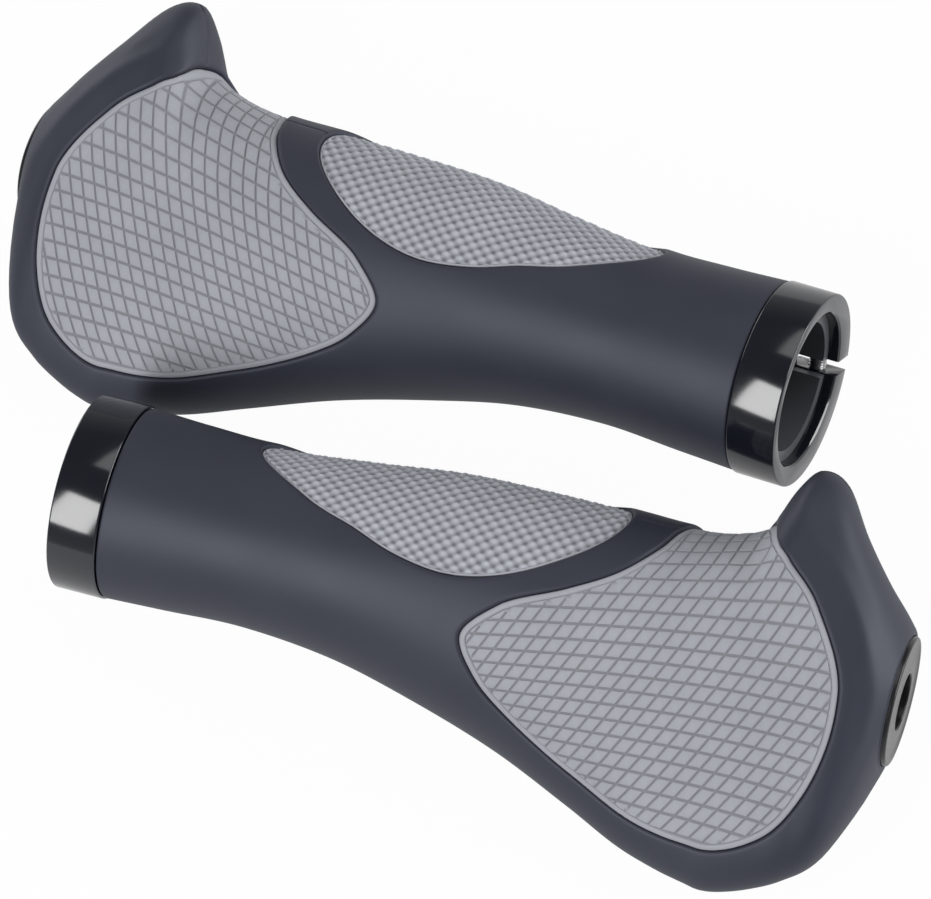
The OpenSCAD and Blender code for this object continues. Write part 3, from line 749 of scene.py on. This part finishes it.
bolt = {
    "radius": 1.5, "root": 1.22, "pitch": 0.5, "reach": 5.0, "seat": 2.65, "neckGap": 0.02,  # mm
    "head": 2.5, "headHeight": 2.2, "headEdge": 0.3, "headSteps": 3, "headSides": 64,
    "socket": 2.5, "socketDepth": 1.4, "sides": 28, "rowsToTurn": 12,
    "flank": 1.3, "rootFlat": 0.1, "tipLength": 0.4, "tipShare": 0.75, "smooth": 35,
}


def buildBolt():
    spec = bolt
    top = spec["seat"] + spec["headHeight"]
    head = rod(spec["head"], spec["seat"], top, spec["headSides"])
    bevelEdges(head, spec["headEdge"], spec["headSteps"],
               lambda e: min(v.co.z for v in e.verts) > top - levelGap)
    corner = spec["socket"] / 2 / math.cos(math.pi / 6)
    cutAway(head, rod(corner, top - spec["socketDepth"], top + spec["socketDepth"], 6))  # a hexagon
    sides = spec["sides"]  # the threaded shank, a helix over a fine cylinder
    rows = int((spec["reach"] + spec["seat"]) / spec["pitch"] * spec["rowsToTurn"])
    zs = np.linspace(-spec["reach"], spec["seat"] - spec["neckGap"], rows)
    gridZ, gridTurn = np.meshgrid(zs, np.linspace(0, 2 * math.pi, sides, endpoint=False), indexing="ij")
    wave = np.abs(((gridZ / spec["pitch"] - gridTurn / 2 / math.pi) % 1) * 2 - 1)
    thread = np.clip(wave * spec["flank"] - spec["rootFlat"], 0, 1)
    radius = spec["root"] + (spec["radius"] - spec["root"]) * thread
    radius *= np.clip((gridZ + spec["reach"]) / spec["tipLength"] + spec["tipShare"], 0, 1)
    points = np.stack([radius * np.cos(gridTurn), radius * np.sin(gridTurn), gridZ], -1).reshape(-1, 3)
    faces = [[i * sides + k, i * sides + n, (i + 1) * sides + n, (i + 1) * sides + k]
             for i in range(rows - 1) for k, n in loopEdges(0, sides)]
    faces += [list(range(sides))[::-1], [(rows - 1) * sides + k for k in range(sides)]]
    shank = meshPiece("shank", points, faces)
    pick(head)
    shank.select_set(True)
    bpy.ops.object.join()
    boltPlace(head)
    pointOutwards(head)
    smoothPiece(head, spec["smooth"])
    return head


plug = {
    "shank": 8.95, "shankX": 133.15, "flangeX": 138.15, "faceX": 143.3, "radius": 10.9, "hole": 4.75,  # mm
    "edge": 0.45, "mouthEdge": 0.3, "rimWidth": 1.2, "dishSlope": 0.15, "dish": 0.06,
    "edgePoints": 6, "mouthPoints": 5, "sides": 128, "smooth": 35,
}


def buildPlug():
    p = plug
    face, edge, soft = p["faceX"], p["edge"], p["mouthEdge"]
    corner = [(face - edge + edge * math.sin(t), p["radius"] - edge + edge * math.cos(t))
              for t in np.linspace(0, math.pi / 2, p["edgePoints"])]
    mouth = [(face - soft + soft * math.cos(t), p["hole"] + soft - soft * math.sin(t))
             for t in np.linspace(0, math.pi / 2, p["mouthPoints"])]
    shank = [(p["shankX"], p["hole"]), (p["shankX"], p["shank"] - soft), (p["shankX"] + soft, p["shank"]),
             (p["flangeX"], p["shank"]), (p["flangeX"], p["radius"])]
    rim, sunk = p["radius"] - p["rimWidth"], face - p["dish"]
    dish = [(face, rim), (sunk, rim - p["dishSlope"]), (sunk, p["hole"] + p["rimWidth"])]
    piece = spun("plug", shank + corner + dish + mouth + shank[:1], p["sides"])
    smoothPiece(piece, p["smooth"])
    return piece


ringModel = buildRing()
boltModel = buildBolt()
plugModel = buildPlug()
counts = [len(model.data.polygons) for model in (ringModel, boltModel, plugModel)]
print("ring, bolt and plug built:", *counts, "faces")


# fine moulded grain and broad clouding, shared by every finish
def buildGrainGroup():
    group = bpy.data.node_groups.new("mouldGrain", "ShaderNodeTree")
    for title in ("Grain Scale", "Cloud Scale"):
        group.interface.new_socket(title, in_out="INPUT", socket_type="NodeSocketFloat")
    for title in ("Grain", "Cloud"):
        group.interface.new_socket(title, in_out="OUTPUT", socket_type="NodeSocketFloat")
    given, out = group.nodes.new("NodeGroupInput"), group.nodes.new("NodeGroupOutput")
    place = group.nodes.new("ShaderNodeTexCoord")
    fine, broad = group.nodes.new("ShaderNodeTexNoise"), group.nodes.new("ShaderNodeTexNoise")
    fine.inputs["Detail"].default_value = 3
    fine.inputs["Roughness"].default_value = 0.6
    broad.inputs["Detail"].default_value = 4
    for noise, size, title in ((fine, "Grain Scale", "Grain"), (broad, "Cloud Scale", "Cloud")):
        group.links.new(place.outputs["Object"], noise.inputs["Vector"])
        group.links.new(given.outputs[size], noise.inputs["Scale"])
        group.links.new(noise.outputs["Fac"], out.inputs[title])
    return group


grainGroup = buildGrainGroup()
finishes = {  # colours and roughness run from low to high with the clouding; bump is in metres
    "blackRubber": {
        "dark": (0.0115, 0.013, 0.023), "light": (0.0195, 0.0215, 0.036), "rough": (0.52, 0.62),
        "grain": 3200, "cloud": 70, "bump": 0.000012,
        "sockets": {"IOR": 1.55, "Specular Tint": (0.86, 0.90, 1.0, 1)}},
    "greyPad": {
        "dark": (0.26, 0.27, 0.30), "light": (0.325, 0.336, 0.37), "rough": (0.58, 0.70),
        "grain": 3000, "cloud": 90, "bump": 0.000012, "sockets": {}},
    "glossBlack": {
        "dark": (0.005, 0.006, 0.010), "light": (0.008, 0.009, 0.014), "rough": (0.10, 0.14),
        "grain": 900, "cloud": 120, "bump": 0.0000006, "sockets": {"IOR": 1.62}},
    "capPlastic": {
        "dark": (0.010, 0.010, 0.011), "light": (0.016, 0.016, 0.018), "rough": (0.22, 0.30),
        "grain": 5000, "cloud": 150, "bump": 0.000004, "sockets": {"IOR": 1.4}},
    # the core's dark nylon colour, lightened as a painted reflection on its end face
    "coreNylonPaintedReflection": {
        "dark": (0.060, 0.062, 0.070), "light": (0.080, 0.083, 0.092), "rough": (0.30, 0.40),
        "grain": 4500, "cloud": 130, "bump": 0.000008, "sockets": {}},
    "boltSteel": {
        "dark": (0.50, 0.50, 0.51), "light": (0.62, 0.62, 0.63), "rough": (0.22, 0.34),
        "grain": 6000, "cloud": 400, "bump": 0.000003, "sockets": {"Metallic": 1.0}},
}
paintedGrooveShade = 0.60  # painted shade in a groove, as a share of the pad's colour


# a finish with clouded colour and roughness and a moulded grain
def mouldedFinish(name):
    spec = finishes[name]
    finish = bpy.data.materials.new(name)
    finish.use_nodes = True
    nodes, links = finish.node_tree.nodes, finish.node_tree.links
    shader = nodes["Principled BSDF"]
    grain = nodes.new("ShaderNodeGroup")
    grain.node_tree = grainGroup
    grain.inputs["Grain Scale"].default_value = spec["grain"]
    grain.inputs["Cloud Scale"].default_value = spec["cloud"]
    tone = nodes.new("ShaderNodeMix")
    tone.name = "tone"
    tone.data_type = "RGBA"
    tone.inputs["A"].default_value = (*spec["dark"], 1)
    tone.inputs["B"].default_value = (*spec["light"], 1)
    spread = nodes.new("ShaderNodeMapRange")
    spread.inputs["To Min"].default_value, spread.inputs["To Max"].default_value = spec["rough"]
    height = nodes.new("ShaderNodeBump")
    height.inputs["Strength"].default_value = 1
    height.inputs["Distance"].default_value = spec["bump"]
    links.new(grain.outputs["Cloud"], tone.inputs["Factor"])
    links.new(tone.outputs["Result"], shader.inputs["Base Color"])
    links.new(grain.outputs["Cloud"], spread.inputs["Value"])
    links.new(spread.outputs["Result"], shader.inputs["Roughness"])
    links.new(grain.outputs["Grain"], height.inputs["Height"])
    links.new(height.outputs["Normal"], shader.inputs["Normal"])
    for socket, value in spec["sockets"].items():
        shader.inputs[socket].default_value = value
    return finish


# painted shade: the pads' grooves are darkened and the finger pad's crests lightened, from the relief kept on
# their points
def paintGrooveShade(finish):
    nodes, links = finish.node_tree.nodes, finish.node_tree.links
    level = nodes.new("ShaderNodeAttribute")
    level.attribute_name = "relief"
    deep = nodes.new("ShaderNodeMapRange")
    deep.inputs["To Min"].default_value = paintedGrooveShade
    deep.inputs["To Max"].default_value = 1.0
    deep.clamp = False
    deepen = nodes.new("ShaderNodeVectorMath")
    deepen.operation = "SCALE"
    links.new(level.outputs["Fac"], deep.inputs["Value"])
    links.new(nodes["tone"].outputs["Result"], deepen.inputs[0])
    links.new(deep.outputs["Result"], deepen.inputs["Scale"])
    links.new(deepen.outputs["Vector"], nodes["Principled BSDF"].inputs["Base Color"])


made = {name: mouldedFinish(name) for name in finishes}
paintGrooveShade(made["greyPad"])
print("finishes made:", ", ".join(made))

layPair(rubberModel, "rubber_grip", "body", "grips", made["blackRubber"])
layPair(palmModel, "palm_inlay", "palm_pad", "grips", made["greyPad"])
layPair(fingerModel, "finger_inlay", "finger_pad", "grips", made["greyPad"])
layPair(ringModel, "gloss_ring", "clamp_ring", "ring", made["glossBlack"])
layPair(boltModel, "socket_bolt", "clamp_bolt", "bolt", made["boltSteel"])
layPair(plugModel, "end_cap", "end_plug", "plug", made["capPlastic"])
for hand in hands:
    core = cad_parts[hand + "_core"]
    core.data.materials.clear()
    core.data.materials.append(made["coreNylonPaintedReflection"])


# floor, light and camera
studio = {
    "floorSize": 6, "floorColour": (0.60, 0.60, 0.62, 1),  # m
    "floorGlow": {"Is Camera Ray": 0.97, "Is Glossy Ray": 0.6},  # how white the floor looks to a ray
    "world": 0.32, "mirrored": (0.40, 0.10), "mirrorTop": 0.6, "lampDistance": 1.2,
    "lamps": {  # way to the lamp, radiance, width and height in m
        "keyBox": ((-0.235, -0.70, 0.675), 10.0, 0.46, 0.80),
        "topBox": ((0.10, 0.42, 0.90), 1.7, 0.64, 0.80),
        "rightBox": ((0.90, 0.34, 0.27), 8.0, 0.90, 0.50),
        "leftBox": ((-0.85, 0.46, 0.24), 3.2, 0.90, 0.50)},
    "target": (0.0033, -0.00089, 0.01859), "distance": 1.0, "tilt": (16.45, 19.7, 21.29),  # m, degrees
    "lens": 231.6, "sensor": 36, "clip": (0.01, 20),  # mm, mm, m
}


def litFloor():
    clearSelection()
    bpy.ops.mesh.primitive_plane_add(size=studio["floorSize"], location=(0, 0, 0))
    floor = bpy.context.object
    floor.name = "floor"
    sheet = bpy.data.materials.new("paleFloor")
    sheet.use_nodes = True
    nodes, links = sheet.node_tree.nodes, sheet.node_tree.links
    nodes.clear()
    out, mixer = nodes.new("ShaderNodeOutputMaterial"), nodes.new("ShaderNodeMixShader")
    diffuse, glow = nodes.new("ShaderNodeBsdfDiffuse"), nodes.new("ShaderNodeEmission")
    path, either = nodes.new("ShaderNodeLightPath"), nodes.new("ShaderNodeMath")
    diffuse.inputs["Color"].default_value = studio["floorColour"]
    glow.inputs["Strength"].default_value = 1.0
    either.operation = "MAXIMUM"
    for slot, (ray, share) in enumerate(studio["floorGlow"].items()):
        amount = nodes.new("ShaderNodeMath")
        amount.operation = "MULTIPLY"
        amount.inputs[1].default_value = share
        links.new(path.outputs[ray], amount.inputs[0])
        links.new(amount.outputs[0], either.inputs[slot])
    links.new(either.outputs[0], mixer.inputs["Fac"])
    links.new(diffuse.outputs[0], mixer.inputs[1])
    links.new(glow.outputs[0], mixer.inputs[2])
    links.new(mixer.outputs[0], out.inputs["Surface"])
    floor.data.materials.append(sheet)


# a plain world that is white to the camera and darkens overhead in reflections
def softRoom():
    world = bpy.data.worlds.new("softRoom")
    bpy.context.scene.world = world
    world.use_nodes = True
    nodes, links = world.node_tree.nodes, world.node_tree.links
    back = nodes["Background"]
    back.inputs["Color"].default_value = (1, 1, 1, 1)
    path, way = nodes.new("ShaderNodeLightPath"), nodes.new("ShaderNodeTexCoord")
    split = nodes.new("ShaderNodeSeparateXYZ")
    dusk, level, seen = (nodes.new("ShaderNodeMapRange") for k in range(3))
    dusk.inputs["From Max"].default_value = studio["mirrorTop"]
    horizon, overhead = studio["mirrored"]
    dusk.inputs["To Min"].default_value = horizon
    dusk.inputs["To Max"].default_value = overhead
    level.inputs["To Min"].default_value = studio["world"]
    seen.inputs["To Max"].default_value = 1.0
    links.new(way.outputs["Generated"], split.inputs[0])
    links.new(split.outputs["Z"], dusk.inputs["Value"])
    links.new(dusk.outputs["Result"], level.inputs["To Max"])
    links.new(path.outputs["Is Glossy Ray"], level.inputs["Value"])
    links.new(path.outputs["Is Camera Ray"], seen.inputs["Value"])
    links.new(level.outputs["Result"], seen.inputs["To Min"])
    links.new(seen.outputs["Result"], back.inputs["Strength"])


def lampBoxes():
    for name, (way, radiance, width, height) in studio["lamps"].items():
        lamp = bpy.data.lights.new(name, "AREA")
        lamp.shape = "RECTANGLE"
        lamp.size, lamp.size_y = width, height
        lamp.energy = radiance * math.pi * width * height
        box = bpy.data.objects.new(name, lamp)
        bpy.context.scene.collection.objects.link(box)
        aim = Vector(way).normalized()
        box.location = aim * studio["lampDistance"]
        box.rotation_euler = aim.to_track_quat("Z", "Y").to_euler()


def photoCamera():
    turn, lean, roll = (math.radians(t) for t in studio["tilt"])
    back = Vector((math.sin(turn) * math.cos(lean), -math.sin(lean), math.cos(turn) * math.cos(lean)))
    right = Vector((0, 1, 0)).cross(back).normalized()
    up = back.cross(right)
    across = right * math.cos(roll) + up * math.sin(roll)
    rise = up * math.cos(roll) - right * math.sin(roll)
    lens = bpy.data.cameras.new("photoCamera")
    lens.sensor_fit, lens.sensor_width, lens.lens = "HORIZONTAL", studio["sensor"], studio["lens"]
    lens.clip_start, lens.clip_end = studio["clip"]
    camera = bpy.data.objects.new("photoCamera", lens)
    bpy.context.scene.collection.objects.link(camera)
    place = Matrix((across, rise, back)).transposed().to_4x4()
    place.translation = Vector(studio["target"]) + back * studio["distance"]
    camera.matrix_world = place
    bpy.context.scene.camera = camera


litFloor()
softRoom()
lampBoxes()
photoCamera()
bpy.context.scene.view_settings.view_transform = "Standard"
clearSelection()
print("stage, light and camera set")
